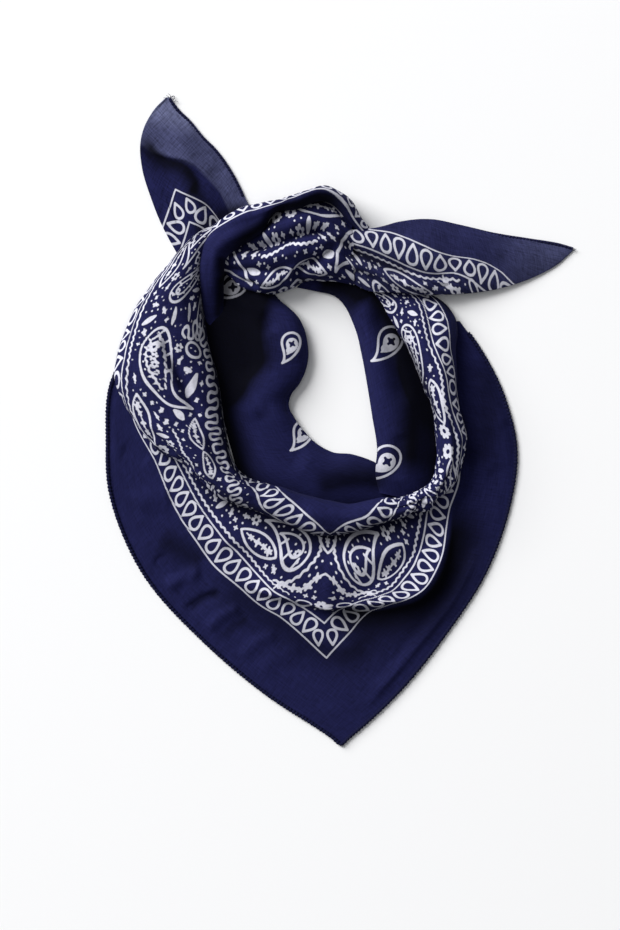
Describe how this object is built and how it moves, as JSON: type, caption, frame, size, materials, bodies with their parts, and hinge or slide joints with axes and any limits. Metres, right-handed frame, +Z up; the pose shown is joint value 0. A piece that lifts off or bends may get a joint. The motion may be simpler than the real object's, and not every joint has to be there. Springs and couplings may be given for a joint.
{
  "type": "bandana",
  "caption": "Square cotton bandana folded to a triangle, rolled, knotted into a ring and laid flat, with a pointed front flap and tied tails.",
  "frame": {"origin": "centre of the bounding box at the table", "axes": "+Y from the front corner towards the knot, +Z up from the table, +X towards the tail that lies sideways"},
  "size_m": [0.3371, 0.4686, 0.0338],
  "materials": {
    "cotton": "woven navy cotton with a white paisley print",
    "thread": "overlocked navy thread at the hem"
  },
  "bodies": {
    "root": {"flap_front": "cotton", "flap_left": "cotton", "flap_right": "cotton", "knot_strand": "cotton", "knot_wrap": "cotton", "neck_front": "cotton", "neck_left": "cotton", "neck_right": "cotton", "roll_front": "cotton", "roll_front_left": "cotton", "roll_front_right": "cotton", "roll_left_lower": "cotton", "roll_left_top": "cotton", "roll_left_upper": "cotton", "roll_right": "cotton", "roll_right_top": "cotton", "tail_left": "cotton", "tail_right": "cotton", "hem_front_left": "thread", "hem_front_right": "thread", "hem_tail_left": "thread", "hem_tail_right": "thread"}
  },
  "joints": []
}
